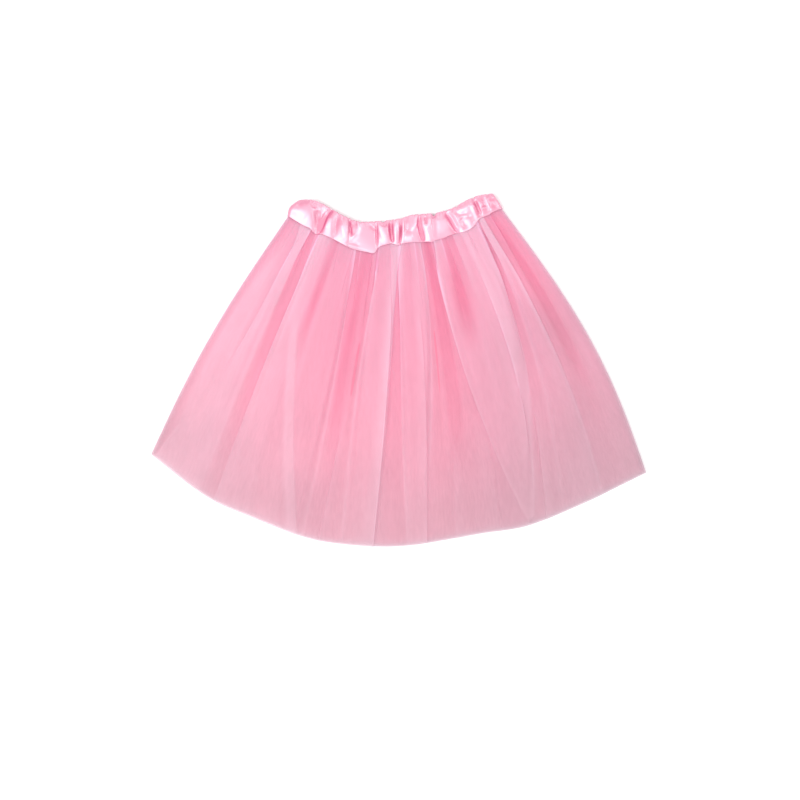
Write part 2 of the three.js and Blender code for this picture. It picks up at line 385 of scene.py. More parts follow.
@dataclass(frozen=True)
class Streaks:
    """Soft uneven waves that run down the cloth between its larger folds.

    Coarsest and finest are waves across the whole width.
    """

    rise: float
    coarsest: int
    finest: int
    seed: int
    every: int = 3
    sway: float = 4.2
    bunching: float = 0.03

    def shape(self, across: np.ndarray, down: np.ndarray) -> FoldShape:
        """Add up waves of many widths, each swaying slowly down the skirt.

        Args:
            across: Place along the cloth, as a share of the width.
            down: Height on the skirt.

        Returns:
            The rise and the bunching, with no shift.
        """
        draw = np.random.default_rng(self.seed)
        total = np.zeros_like(across)
        for waves in range(self.coarsest, self.finest, self.every):
            sway = draw.uniform(-self.sway, self.sway)
            phase = draw.uniform(0.0, FULL_TURN)
            pulse = 0.6 + 0.4 * np.sin(FULL_TURN * (draw.uniform(0.4, 1.6) * down + draw.uniform()))
            weight = self.coarsest / waves
            total += weight * pulse * np.sin(FULL_TURN * waves * across + sway * down + phase)
        return FoldShape(self.rise * total, np.zeros_like(across), self.bunching * total)


Fold = Panel | Ridge | Gathers | Streaks

# A panel's first numbers are its left edge at the waist and at the hem, with its bend, and the same
# of its right edge. Then come its rise, its left and right slope, and its left and right lap. A
# ridge's first two are its place at the waist and at the hem.
OUTER_FRONT_FOLDS: tuple[Fold, ...] = (
    Panel(-91, -228, 12, -82, -186, 3, 2.2, 9, 10, 5, 2.5, glow_left=0.9, glow_right=0.6, soft_right=22),
    Panel(-73, -172, 0, -39, -88, 5, 5.2, 9, 10, 9, 9, glow_left=0.65, glow_right=0.2, soft_right=18),
    Panel(-19, -54, -5, 0, -21, -2, 4.6, 9, 7, 6, 9, glow_left=0.35, glow_right=0.6, soft_left=16,
          soft_right=10),
    Panel(1.5, 7, -4, 22, 22, 1, 5.0, 8, 8, 6, 5, glow_left=0.3, glow_right=0.35, lip=0.4, soft_right=15),
    Panel(32, 120, -13, 72, 125, 3, 5.4, 10, 9, 8, 8, glow_left=0.3, glow_right=0.6, soft_right=9),
    Panel(74, 150, 0, 79, 190, -1, 3.0, 5, 9, 3, 7, glow_left=0.2, glow_right=0.5, soft_left=16,
          soft_right=6),
    Ridge(-97, -208, begins=0.0, rise=0.5, width=90, glow=1.1, bend=-5),
    Ridge(-76, -103, begins=0.25, rise=1.0, width=16, lean=3, glow=0.75, bend=4),
    Ridge(-58, -136, begins=0.0, rise=-1.2, width=24, glow=-0.75, ends=0.45),
    Ridge(-29, -72, begins=0.0, rise=-0.6, width=26, glow=-0.4, ends=0.8, bend=-4),
    Ridge(-22, -68, begins=0.45, rise=1.2, width=16, lean=-5, glow=0.15),
    Ridge(-8, -33, begins=0.05, rise=1.3, width=12, lean=6, glow=0.3),
    Ridge(12, 19, begins=0.1, rise=1.1, width=12, lean=5, glow=0.2),
    Ridge(26, 62, begins=0.0, rise=-0.7, width=26, glow=-0.75, ends=0.85),
    Ridge(29, 60, begins=0.5, rise=1.8, width=24, lean=-4, glow=0.15),
    Ridge(46, 112, begins=0.0, rise=-1.0, width=44, glow=-1.1, ends=0.42, bend=-8),
    Ridge(36, 88, begins=0.55, rise=1.5, width=22, lean=4, glow=0.15),
    Ridge(58, 128, begins=0.0, rise=1.6, width=15, lean=-7, glow=0.4, ends=0.95, bend=6),
    Ridge(84.5, 203, begins=0.0, rise=-0.7, width=20, glow=-0.7, ends=0.7),
    Ridge(96, 222, begins=0.0, rise=0.3, width=44, glow=0.45),
    Ridge(70, 143, begins=0.5, rise=1.6, width=18, lean=-5, glow=0.3),
    Gathers(count=46, rise=1.1, lean=2.4, reach=0.34, seed=11),
    Streaks(rise=0.06, coarsest=9, finest=70, seed=5),
)
INNER_WAVES: tuple[Fold, ...] = (
    Ridge(-88, -190, begins=0.0, rise=1.2, width=30, lean=13),
    Ridge(-60, -150, begins=0.0, rise=1.0, width=24, lean=-12),
    Ridge(-30, -82, begins=0.0, rise=1.6, width=36, lean=16),
    Ridge(-4, -10, begins=0.0, rise=1.0, width=22, lean=-12),
    Ridge(28, 62, begins=0.0, rise=1.6, width=40, lean=-18),
    Ridge(50, 104, begins=0.0, rise=1.0, width=24, lean=12),
    Ridge(76, 176, begins=0.0, rise=1.4, width=34, lean=15),
)
INNER_FRONT_FOLDS: tuple[Fold, ...] = (
    *INNER_WAVES,
    Gathers(count=40, rise=0.8, lean=2.2, reach=0.45, seed=23),
    Streaks(rise=0.05, coarsest=8, finest=60, seed=9),
)
OUTER_BACK_FOLDS: tuple[Fold, ...] = (
    Panel(-90, -206, 3, -66, -160, 2, 0.5, 8, 8, 8, 6, glow_left=0.5, glow_right=0.3, lip=0.5),
    Panel(-48, -112, -3, -24, -66, 2, 0.6, 8, 8, 9, 9, glow_left=0.3, glow_right=0.6, lip=0.5),
    Panel(-8, -28, 3, 18, 30, 3, 0.6, 8, 8, 8, 6, glow_left=0.5, glow_right=0.4, lip=0.5),
    Panel(34, 74, -4, 52, 118, 3, 0.6, 8, 8, 7, 9, glow_left=0.4, glow_right=0.5, lip=0.5),
    Panel(70, 158, 3, 84, 204, -3, 0.5, 8, 8, 9, 6, glow_left=0.6, glow_right=0.3, lip=0.5),
    Gathers(count=40, rise=0.35, lean=2.2, reach=0.4, seed=31),
)
INNER_BACK_FOLDS: tuple[Fold, ...] = (
    Ridge(-76, -178, begins=0.0, rise=0.4, width=30, lean=13),
    Ridge(-38, -94, begins=0.0, rise=0.4, width=34, lean=-14),
    Ridge(6, 12, begins=0.0, rise=0.4, width=34, lean=14),
    Ridge(44, 96, begins=0.0, rise=0.4, width=34, lean=-14),
    Ridge(78, 182, begins=0.0, rise=0.4, width=30, lean=12),
    Gathers(count=36, rise=0.3, lean=2.0, reach=0.4, seed=41),
)


def side_fade(across: np.ndarray, down: np.ndarray) -> np.ndarray:
    """Return 1 over most of the width, falling to 0 where the cloth turns under at the sides."""
    reach = SIDE_REACH / PLAN.width(down)
    return ease(across, 0.0, reach) * ease(1.0 - across, 0.0, reach)


def fold_field(folds: tuple[Fold, ...], across: np.ndarray, down: np.ndarray) -> FoldShape:
    """Add up a set of folds.

    Args:
        folds: The folds of one side of one layer.
        across: Place along the cloth, as a share of the width.
        down: Height on the skirt.

    Returns:
        What they do together.
    """
    shapes = [fold.shape(across, down) for fold in folds]
    fade = side_fade(across, down)
    return FoldShape(
        sum(shape.rise for shape in shapes) * fade,
        sum(shape.shift for shape in shapes) * fade,
        sum(shape.bunched_and_lit for shape in shapes) * fade,
    )


def running_length(steps: np.ndarray) -> np.ndarray:
    """Return each point's place along a line, in metres, from the millimetre steps between them."""
    return np.concatenate([[0.0], np.cumsum(steps)]) * MM


def make_sheet(
    name: str, points: np.ndarray, uv: np.ndarray, marks: dict[str, np.ndarray]
) -> bpy.types.Object:
    """Make a smooth mesh from a grid of points whose last column joins the first.

    Args:
        name: The new object's name.
        points: Rows by columns by 3, in millimetres.
        uv: Rows by columns by 2, in metres of cloth.
        marks: Further values at each point, for the material, by name.

    Returns:
        The object, linked to the scene.
    """
    rows, columns = points.shape[:2]
    here = np.arange(rows * columns).reshape(rows, columns)
    following = np.roll(here, -1, axis=1)
    quads = np.stack([here[:-1], here[1:], following[1:], following[:-1]], axis=-1).reshape(-1, 4)
    mesh = bpy.data.meshes.new(name)
    mesh.from_pydata((points.reshape(-1, 3) * MM).tolist(), [], quads.tolist())
    corner = np.empty(len(mesh.loops), dtype=np.int32)
    mesh.loops.foreach_get("vertex_index", corner)
    corner_uv = uv.reshape(-1, 2)[corner]
    # The quads that close the ring carry on past the last column instead of running back
    step = uv[0, -1, 0] - uv[0, -2, 0]
    for quad in np.arange(len(quads)).reshape(rows - 1, columns)[:, -1]:
        corner_uv[4 * quad + 2, 0] = corner_uv[4 * quad + 1, 0] + step
        corner_uv[4 * quad + 3, 0] = corner_uv[4 * quad, 0] + step
    mesh.uv_layers.new(name=CLOTH_MAP).data.foreach_set("uv", corner_uv.ravel())
    for mark, values in marks.items():
        attribute = mesh.attributes.new(mark, "FLOAT", "POINT")
        attribute.data.foreach_set("value", values.ravel().astype(np.float32))
    mesh.shade_smooth()
    mesh.update()
    made = bpy.data.objects.new(name, mesh)
    bpy.context.scene.collection.objects.link(made)
    return made


class NodeBench:
    """Builds one node material, with a Principled shader at its end."""

    def __init__(self, name: str) -> None:
        """Start a material that holds only its shader.

        Args:
            name: The material's name.
        """
        self.material = bpy.data.materials.new(name)
        self.material.use_nodes = True
        self.nodes = self.material.node_tree.nodes
        self.nodes.clear()
        self.output = self.nodes.new("ShaderNodeOutputMaterial")
        self.shader = self.nodes.new("ShaderNodeBsdfPrincipled")
        self.feed(self.output, {"Surface": self.shader.outputs["BSDF"]})

    def feed(self, node: bpy.types.Node, inputs: dict[str | int, Feed]) -> None:
        """Link or set a node's inputs.

        Args:
            node: The node.
            inputs: What feeds each input, by the input's name or place.
        """
        for place, value in inputs.items():
            if isinstance(value, bpy.types.NodeSocket):
                self.material.node_tree.links.new(value, node.inputs[place])
            else:
                node.inputs[place].default_value = value

    def add(
        self, kind: str, inputs: dict[str | int, Feed], output: str | int, **settings: str
    ) -> bpy.types.NodeSocket:
        """Add a node.

        Args:
            kind: Its type, after the word ShaderNode.
            inputs: What feeds each input, by the input's name or place.
            output: Which output to return, by its name or place.
            settings: The node's own settings, such as an operation.

        Returns:
            The output.
        """
        node = self.nodes.new(f"ShaderNode{kind}")
        for setting, value in settings.items():
            setattr(node, setting, value)
        self.feed(node, inputs)
        return node.outputs[output]

    def number(self, operation: str, first: Feed, second: Feed) -> bpy.types.NodeSocket:
        """Return the result of a Math node."""
        return self.add("Math", {0: first, 1: second}, "Value", operation=operation)

    def vector(self, operation: str, first: Feed, second: Feed = (0.0, 0.0, 0.0)) -> bpy.types.NodeSocket:
        """Return the result of a Vector Math node."""
        return self.add("VectorMath", {0: first, 1: second}, "Vector", operation=operation)

    def mark(self, name: str) -> bpy.types.NodeSocket:
        """Return a value that the mesh carries."""
        return self.add("Attribute", {}, "Fac", attribute_name=name)

    def cloth_place(self) -> bpy.types.NodeSocket:
        """Return the cloth's own coordinates, in metres."""
        return self.add("UVMap", {}, "UV", uv_map=CLOTH_MAP)

    def noise(self, place: bpy.types.NodeSocket, scale: float, detail: float) -> bpy.types.NodeSocket:
        """Return a noise texture's factor at a place."""
        return self.add("TexNoise", {"Vector": place, "Scale": scale, "Detail": detail}, "Fac")

    def spread(
        self, value: bpy.types.NodeSocket, low: float, high: float, to_low: float, to_high: float
    ) -> bpy.types.NodeSocket:
        """Map a range of values to another.

        Args:
            value: What is mapped.
            low: The value that gives to_low.
            high: The value that gives to_high.
            to_low: The result at low.
            to_high: The result at high.

        Returns:
            The result.
        """
        return self.add("MapRange", dict(enumerate((value, low, high, to_low, to_high))), "Result")

    def vary(self, noise: bpy.types.NodeSocket, low: float, high: float) -> bpy.types.NodeSocket:
        """Return a noise's middle range, mapped to low and high."""
        return self.spread(noise, 0.3, 0.7, low, high)

    def ramp(
        self, value: bpy.types.NodeSocket, stops: tuple[tuple[float, Colour], ...]
    ) -> bpy.types.NodeSocket:
        """Add a colour ramp.

        Args:
            value: What it reads.
            stops: Each place and its colour, in order.

        Returns:
            Its colour.
        """
        node = self.nodes.new("ShaderNodeValToRGB")
        elements = node.color_ramp.elements
        for i, (place, colour) in enumerate(stops):
            element = elements[i] if i < 2 else elements.new(place)
            element.position = place
            element.color = (*colour, 1.0)
        self.feed(node, {"Fac": value})
        return node.outputs["Color"]

    def mixed(self, share: bpy.types.NodeSocket, first: Feed, second: Feed) -> bpy.types.NodeSocket:
        """Return a mix of two colours, by the share of the second."""
        return self.add("Mix", {"Factor": share, 6: first, 7: second}, 2, data_type="RGBA")

    def thin_cloth(
        self, colour: bpy.types.NodeSocket, passed_on: float, cover: bpy.types.NodeSocket
    ) -> None:
        """Make the surface scatter light to both sides and leave holes.

        Args:
            colour: The cloth's colour.
            passed_on: The share of the light that goes on through the threads.
            cover: The share of the surface that isn't holes.
        """
        facing = self.shader.outputs["BSDF"]
        through = self.add("BsdfTranslucent", {"Color": colour}, "BSDF")
        threads = self.add("MixShader", {"Fac": passed_on, 1: facing, 2: through}, "Shader")
        holes = self.add("BsdfTransparent", {"Color": (1.0, 1.0, 1.0, 1.0)}, "BSDF")
        whole = self.add("MixShader", {"Fac": cover, 1: holes, 2: threads}, "Shader")
        self.feed(self.output, {"Surface": whole})

    def bump(self, height: bpy.types.NodeSocket, depth: float, strength: float) -> None:
        """Give the shader a bump.

        Args:
            height: The height it reads.
            depth: How deep it is, in metres.
            strength: How much of it shows.
        """
        inputs = {"Height": height, "Distance": depth, "Strength": strength}
        self.feed(self.shader, {"Normal": self.add("Bump", inputs, "Normal")})


@dataclass(frozen=True)
class TulleFinish:
    """Soft nylon net: six-sided holes and a pale sheen, lighter where the net is thick with bunching, partly
    a painted highlight.

    The colours are for the waist, the middle and the hem, of single net and of net thick with
    bunching; the greyer hem colours are a painted shade. A stretch marked with painted grey shade
    takes on the greyer pink. Scales of noise are in waves to the metre.
    """

    name: str
    single: tuple[Colour, Colour, Colour]
    bunched_and_lit: tuple[Colour, Colour, Colour]
    painted_grey_shade: Colour = (0.63, 0.5, 0.56)
    mesh_mm: float = 1.0
    thread_share: float = 0.16
    crisp_share: float = 0.4
    passed_on: float = 0.5
    sheen: float = 0.2
    sheen_roughness: float = 0.45
    sheen_tint: tuple[float, float, float, float] = (1.0, 0.82, 0.9, 1.0)
    roughness: float = 0.6
    gloss: float = 0.2
    drawn_out: float = 0.16
    streak_scale: float = 130.0
    fine_scale: float = 620.0
    cloud_scale: float = 22.0
    streak_shade: float = 0.025
    cloud_shade: float = 0.02
    hole_openness: float = 1.12
    thread_openness: float = 0.8
    fine_openness: float = 0.05
    bump_depth: float = 0.00012
    bump_strength: float = 0.25

    def net(self, bench: NodeBench, place: bpy.types.NodeSocket) -> bpy.types.NodeSocket:
        """Draw the net.

        Args:
            bench: The material being built.
            place: The cloth's own coordinates, in metres.

        Returns:
            1 on a thread and 0 in a hole.
        """
        tall = math.sqrt(3.0)
        cells = 1.0 / (self.mesh_mm * MM)
        unit = bench.vector("MULTIPLY", place, (cells, cells / tall, 1.0))
        nearest = []
        for offset in ((0.0, 0.0, 0.0), (0.5, 0.5, 0.0)):
            turned = bench.vector("FRACTION", bench.vector("ADD", unit, offset))
            centred = bench.vector("SUBTRACT", turned, (0.5, 0.5, 0.0))
            spot = bench.vector("ABSOLUTE", bench.vector("MULTIPLY", centred, (1.0, tall, 0.0)))
            aside = bench.add("SeparateXYZ", {"Vector": spot}, "X")
            up = aside.node.outputs["Y"]
            slanted = bench.number("ADD", bench.number("MULTIPLY", aside, 0.5),
                                   bench.number("MULTIPLY", up, tall / 2))
            nearest.append(bench.number("MAXIMUM", aside, slanted))
        edge = bench.number("MINIMUM", *nearest)
        return bench.spread(edge, 0.5 - self.thread_share, 0.5 - self.crisp_share * self.thread_share,
                            0.0, 1.0)

    def build(self) -> bpy.types.Material:
        """Make the material.

        Returns:
            The finished material.
        """
        bench = NodeBench(self.name)
        place = bench.cloth_place()
        down = bench.mark("down")
        single, bunched_and_lit = (
            bench.ramp(down, tuple(zip((0.0, 0.5, 1.0), colours))) for colours in (self.single, self.bunched_and_lit)
        )
        base = bench.mixed(bench.mark("bunched_and_lit"), single, bunched_and_lit)
        toned = bench.mixed(bench.mark("painted_grey_shade"), base, (*self.painted_grey_shade, 1.0))
        along = bench.vector("MULTIPLY", place, (1.0, self.drawn_out, 1.0))
        streak = bench.noise(along, self.streak_scale, 3.0)
        fine = bench.noise(along, self.fine_scale, 2.0)
        cloud = bench.noise(place, self.cloud_scale, 2.0)
        shade = bench.number("ADD", bench.vary(streak, 1 - self.streak_shade, 1 + self.streak_shade),
                             bench.vary(cloud, -self.cloud_shade, self.cloud_shade))
        colour = bench.vector("MULTIPLY", toned, shade)
        net = self.net(bench, place)
        openness = bench.number("ADD", bench.spread(net, 0.0, 1.0, self.hole_openness, self.thread_openness),
                                bench.vary(fine, -self.fine_openness, self.fine_openness))
        holes = bench.number("SUBTRACT", 1.0, bench.mark("cover"))
        cover = bench.number("SUBTRACT", 1.0, bench.number("MULTIPLY", holes, openness))
        bench.thin_cloth(colour, self.passed_on, cover)
        bench.bump(bench.number("ADD", net, fine), self.bump_depth, self.bump_strength)
        bench.feed(bench.shader, {
            "Base Color": colour,
            "Roughness": self.roughness,
            "Specular IOR Level": self.gloss,
            "Sheen Weight": self.sheen,
            "Sheen Roughness": self.sheen_roughness,
            "Sheen Tint": self.sheen_tint,
        })
        return bench.material


@dataclass(frozen=True)
class SatinFinish:
    """Polyester satin: glossy, with its floats running round the waist.

    Its pink is painted bright along its ridges, a painted highlight, light where it is plain, and painted
    deep in its gathers, a painted shade.
    """

    name: str = "pink_satin"
    # A painted highlight colour and a painted shade colour, either side of the satin's own light pink
    highlight_colour: Colour = (0.9, 0.54, 0.68)
    light: Colour = (0.7, 0.23, 0.37)
    shade_colour: Colour = (0.6, 0.05, 0.19)
    roughness: float = 0.44
    gloss: float = 1.0
    index: float = 2.05
    drawn_out: float = 0.22
    cloud_scale: float = 60.0
    weave_scale: float = 2600.0
    cloud_shade: float = 0.03
    smoother: float = 0.04
    rougher: float = 0.05
    bump_depth: float = 0.00006
    bump_strength: float = 0.2

    def build(self) -> bpy.types.Material:
        """Make the material.

        Returns:
            The finished material.
        """
        bench = NodeBench(self.name)
        place = bench.cloth_place()
        cloud = bench.noise(place, self.cloud_scale, 2.0)
        cloudy = bench.vary(cloud, -self.cloud_shade, self.cloud_shade)
        painted_light_tone = bench.number("ADD", bench.mark("painted_light_tone"), cloudy)
        floats = bench.vector("MULTIPLY", place, (self.drawn_out, 1.0, 1.0))
        weave = bench.noise(floats, self.weave_scale, 2.0)
        bench.bump(weave, self.bump_depth, self.bump_strength)
        bench.feed(bench.shader, {
            "Base Color": bench.ramp(painted_light_tone, ((0.0, self.highlight_colour), (0.5, self.light), (1.0, self.shade_colour))),
            "Roughness": bench.vary(weave, self.roughness - self.smoother, self.roughness + self.rougher),
            "Specular IOR Level": self.gloss,
            "IOR": self.index,
        })
        return bench.material


@dataclass(frozen=True)
class FloorFinish:
    """Matt white paper under the skirt."""

    name: str = "white_paper"
    colour: Colour = (0.93, 0.93, 0.93)
    shadow_grain: float = 0.985
    grain_scale: float = 60.0
    roughness: float = 0.9
    gloss: float = 0.1

    def build(self) -> bpy.types.Material:
        """Make the material.

        Returns:
            The finished material.
        """
        bench = NodeBench(self.name)
        grain = bench.noise(bench.add("TexCoord", {}, "Object"), self.grain_scale, 2.0)
        darker = tuple(part * self.shadow_grain for part in self.colour)
        bench.feed(bench.shader, {
            "Base Color": bench.ramp(grain, ((0.3, darker), (0.7, self.colour))),
            "Roughness": self.roughness,
            "Specular IOR Level": self.gloss,
        })
        return bench.material


@dataclass(frozen=True)
class TulleLayer:
    """One layer of tulle: a long strip joined into a tube, gathered at the waist and laid flat.

    Lifted by names the folds of the layer under this one. Ply cover is how much of the surface one
    ply's threads hide, and the shade fields say how much greyer the net is painted, as painted shade:
    towards the right, towards the hem, at the turned sides and along the cut edge.
    """

    name: str
    node: str
    slot: Slot
    finish: TulleFinish
    front_folds: tuple[Fold, ...]
    back_folds: tuple[Fold, ...]
    front_z: float
    back_z: float
    seam_z: float
    flat_width: float
    flat_length: float
    lifted_by: tuple[Fold, ...] = ()
    last_down: float = 1.0
    tucked: float = -0.014
    seam_ripple: float = 0.2
    deepest: float = 0.9
    ply_cover: float = 0.48
    rim_plies: float = 0.4
    rim_width: float = 1.3
    evenly_bunched: float = 0.35
    turn_bunched: float = 0.5
    loosest: float = 0.65
    tightest: float = 1.35
    right_shade: float = 0.24
    hem_shade: float = 0.2
    rim_shade: float = 0.28
    cut_edge_shade: float = 0.45
    measured_at: float = 0.8
    front_steps: int = 900
    back_steps: int = 240
    turn_steps: int = 6
    rows: int = 74

    def lie_front(self, across: np.ndarray, down: np.ndarray) -> np.ndarray:
        """Lay the front.

        Args:
            across: Place along the cloth, as a share of the width.
            down: Height on the skirt.

        Returns:
            The points, in millimetres.
        """
        folds = fold_field(self.front_folds, across, down)
        rise = folds.rise + fold_field(self.lifted_by, across, down).rise
        x, y = PLAN.point(across + folds.shift, down)
        z = self.front_z + np.maximum(rise, -self.deepest)
        held = ease(down, 0.002, 0.06)
        return np.stack([x, y, blend(self.seam_z + self.seam_ripple * rise, z, held)], axis=-1)

    def lie_back(self, across: np.ndarray, down: np.ndarray) -> np.ndarray:
        """Lay the back, with its folds turned up into the stack so that it rests flat.

        Args:
            across: Place along the cloth, as a share of the width.
            down: Height on the skirt.

        Returns:
            The points, in millimetres.
        """
        folds = fold_field(self.back_folds, across, down)
        x, y = PLAN.point(across + folds.shift, down)
        return np.stack([x, y, self.back_z + np.maximum(folds.rise, 0.0)], axis=-1)

    def lie_turn(self, side: float, down: np.ndarray) -> np.ndarray:
        """Turn the cloth under at a side.

        Args:
            side: 0 for the left side and 1 for the right.
            down: One column of heights.

        Returns:
            The points of the turn, from the front down to the back on the right and up on the left.
        """
        radius = TURN_Z - self.back_z
        centre_x, centre_y = PLAN.point(np.abs(side - TURN_Z / PLAN.width(down)), down)
        edge_x, edge_y = PLAN.point(np.full_like(down, side), down)
        out_x, out_y = edge_x - centre_x, edge_y - centre_y
        length = np.hypot(out_x, out_y)
        top = blend(self.seam_z, self.front_z, ease(down, 0.0, 0.05))
        columns = []
        for i in range(1, self.turn_steps):
            angle = math.pi * (0.5 - i / self.turn_steps) * (1 if side else -1)
            lift = np.where(math.sin(angle) > 0, top - TURN_Z, radius)
            columns.append(np.stack([
                centre_x + out_x / length * radius * math.cos(angle),
                centre_y + out_y / length * radius * math.cos(angle),
                TURN_Z + lift * math.sin(angle),
            ], axis=-1))
        return np.stack(columns, axis=1)

    def marks(
        self, down: np.ndarray, front: np.ndarray, back: np.ndarray, x: np.ndarray, around: np.ndarray
    ) -> dict[str, np.ndarray]:
        """Work out what the finish reads at each point of the layer.

        Args:
            down: Each row's height.
            front: The front's places across, by row and column.
            back: The same for the back.
            x: Every point's x.
            around: How long each row is, all round.

        Returns:
            The values of each mark.
        """
        turned = np.ones(x.shape)
        rim = np.ones(x.shape)
        bunched_and_lit = np.full(x.shape, self.turn_bunched)
        width = PLAN.width(down)
        for folds, place, start in (
            (self.front_folds, front, 0),
            (self.back_folds, back, self.front_steps + self.turn_steps),
        ):
            stretch = slice(start, start + place.shape[1])
            spots = np.broadcast_to(down, place.shape)
            reach = np.minimum(place, 1 - place) * width - TURN_Z
            turned[:, stretch] = 0.0
            rim[:, stretch] = np.exp(-((reach / self.rim_width) ** 2))
            bunched_and_lit[:, stretch] = self.evenly_bunched + fold_field(folds, place, spots).bunched_and_lit
        bunched_and_lit = np.clip(bunched_and_lit, 0.0, 1.0)
        aside = (x - x.min()) / np.ptp(x)
        # Painted shade: the net is painted greyer towards the right, towards the hem, at the turned sides
        # and along the cut edge.
        painted_grey_shade = self.right_shade * ease(aside, 0.45, 0.9) * ease(down, 0.0, 0.5)
        painted_grey_shade = painted_grey_shade + self.hem_shade * ease(down, 0.55, 1.0)
        painted_grey_shade = painted_grey_shade + np.maximum(self.cut_edge_shade * ease(down, 0.98, 1.0), self.rim_shade * rim)
        gathered = self.flat_width / MM / around
        plies = gathered * blend(self.loosest, self.tightest, bunched_and_lit) + turned + self.rim_plies * rim
        return {
            "down": np.broadcast_to(np.clip(down, 0, 1), x.shape),
            "bunched_and_lit": bunched_and_lit,
            "cover": 1.0 - (1.0 - self.ply_cover) ** plies,
            "painted_grey_shade": painted_grey_shade,
        }

    def build(self) -> bpy.types.Object:
        """Returns:
            The finished piece.
        """
        down = np.linspace(self.tucked, self.last_down, self.rows)[:, None]
        inset = TURN_Z / PLAN.width(down)
        front = blend(inset, 1 - inset, np.linspace(0.0, 1.0, self.front_steps + 1)[None, :])
        back = blend(inset, 1 - inset, np.linspace(1.0, 0.0, self.back_steps + 1)[None, :])
        points = np.concatenate([
            self.lie_front(front, np.broadcast_to(down, front.shape)),
            self.lie_turn(1.0, down[:, 0]),
            self.lie_back(back, np.broadcast_to(down, back.shape)),
            self.lie_turn(0.0, down[:, 0]),
        ], axis=1)
        steps = np.linalg.norm(np.diff(points, axis=1, append=points[:, :1]), axis=2)
        round_place = running_length(steps[int(self.measured_at * self.rows)][:-1])
        uv = np.stack(np.broadcast_arrays(round_place[None, :], down * self.flat_length), axis=-1)
        marks = self.marks(down, front, back, points[..., 0], steps.sum(axis=1, keepdims=True))
        piece = make_sheet(self.name, points, uv, marks)
        piece.data.materials.append(self.finish.build())
        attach(piece, "root")
        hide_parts(self.node)
        log.info("%s: hem %.0f mm round, %d faces", self.name, steps[-1].sum(), len(piece.data.polygons))
        log.info("%s: %.3f m2 of cloth", self.name, sum(face.area for face in piece.data.polygons))
        return piece


@dataclass(frozen=True)
class Puff:
    """A puff of the ruched satin, between two gathers that may slant.

    The gathers are given by their x at the top edge and at the lower one. The puff is highest at
    its peak, which runs from -1 at its left to 1 at its right.
    """

    top_left: float
    low_left: float
    top_right: float
    low_right: float
    rise: float
    peak: float = 0.35
    roundness: float = 0.85

    def rise_at(self, x: np.ndarray, across: np.ndarray) -> np.ndarray:
        """Read the puff.

        Args:
            x: Place along the band.
            across: 0 at its top edge to 1 at its lower edge.

        Returns:
            How far the satin stands out, 0 outside the puff.
        """
        left = blend(self.top_left, self.low_left, across)
        right = blend(self.top_right, self.low_right, across)
        offset = (2 * x - left - right) / (right - left) - self.peak
        offset = np.where(offset < 0, offset / (1 + self.peak), offset / (1 - self.peak))
        return self.rise * np.clip(1 - offset**2, 0, None) ** self.roundness


@dataclass(frozen=True)
class Crease:
    """A soft ridge in the satin along a bent line seen from above; below 0 it's a trough."""

    line: tuple[tuple[float, float], ...]
    rise: float
    width: float

    def rise_at(self, x: np.ndarray, y: np.ndarray, wider: float = 1.0) -> np.ndarray:
        """Read the crease.

        Args:
            x: Where to read it.
            y: Where to read it.
            wider: How many times wider than the crease to read it.

        Returns:
            How far the satin moves out there.
        """
        spans = [math.dist(a, b) for a, b in zip(self.line, self.line[1:])]
        nearest = np.full(x.shape, np.inf)
        reached = np.zeros(x.shape)
        passed = 0.0
        for (from_x, from_y), (to_x, to_y), span in zip(self.line, self.line[1:], spans):
            run_x, run_y = to_x - from_x, to_y - from_y
            share = np.clip(((x - from_x) * run_x + (y - from_y) * run_y) / span**2, 0, 1)
            off = np.hypot(x - from_x - share * run_x, y - from_y - share * run_y)
            reached = np.where(off < nearest, passed + share * span, reached)
            nearest = np.minimum(nearest, off)
            passed += span
        along = reached / passed
        fade = ease(along, -0.08, 0.22) * (1 - ease(along, 0.78, 1.08))
        return self.rise * fade * np.exp(-((nearest / self.width / wider) ** 2))


@dataclass(frozen=True)
class Notch:
    """A place where a gather draws the casing's top edge in, by its x, its depth and its width."""

    x: float
    depth: float
    width: float

    def depth_at(self, x: np.ndarray) -> np.ndarray:
        """Return how far the notch draws the edge in along the band."""
        return self.depth * np.exp(-(((x - self.x) / self.width) ** 2))


# The lower edge of the front, which laps unevenly over the tulle
SATIN_LOWER = SmoothLine(
    (-103, -95, -87, -82, -76, -70.5, -61, -54, -45.5, -37.5, -30, -22.5, -18.5, -10.5, -5.8, 0.3, 3.6,
     14.8, 19.5, 26, 30.2, 34.5, 41.7, 46.4, 55.3, 60, 65.8, 69.5, 74.2, 82, 86, 96),
    (142.6, 137.4, 132.8, 130.6, 125.2, 125, 120.9, 117.2, 112.8, 110.2, 108.8, 108, 113, 115.8, 116.4,
     114.4, 116.4, 117.9, 117.6, 118.2, 118, 119.6, 121.6, 123.6, 126.3, 127.2, 129.6, 132.4, 138.6,
     141.6, 144.8, 149),
)
SATIN_PUFFS = (
    Puff(-104, -113, -70, -74.5, 3.8, peak=0.3),
    Puff(-64.5, -71.5, -54, -58.5, 2.5, peak=0.1),
    Puff(-59, -62.5, -44.5, -45.5, 3.7, peak=0.62),
    Puff(-46.5, -48.5, -40.5, -43, 1.5, peak=0.0),
    Puff(-42, -56, -18.5, -17, 1.9, peak=-0.5),
    Puff(-21.5, -18.5, -6.5, -5.5, 2.7, peak=0.35),
    Puff(-7.5, -5.5, 2, 2, 2.4, peak=0.3),
    Puff(1.5, 1, 18.5, 20.5, 2.0, peak=-0.6),
    Puff(18.5, 22, 33, 34, 2.8, peak=0.3),
    Puff(28, 28, 46, 56, 2.4, peak=-0.5),
    Puff(44.5, 56, 69.5, 74.5, 3.4, peak=0.4),
    Puff(67, 74.5, 86, 86, 2.4, peak=0.2),
    Puff(80, 83, 96, 97.5, 2.8, peak=-0.3),
)
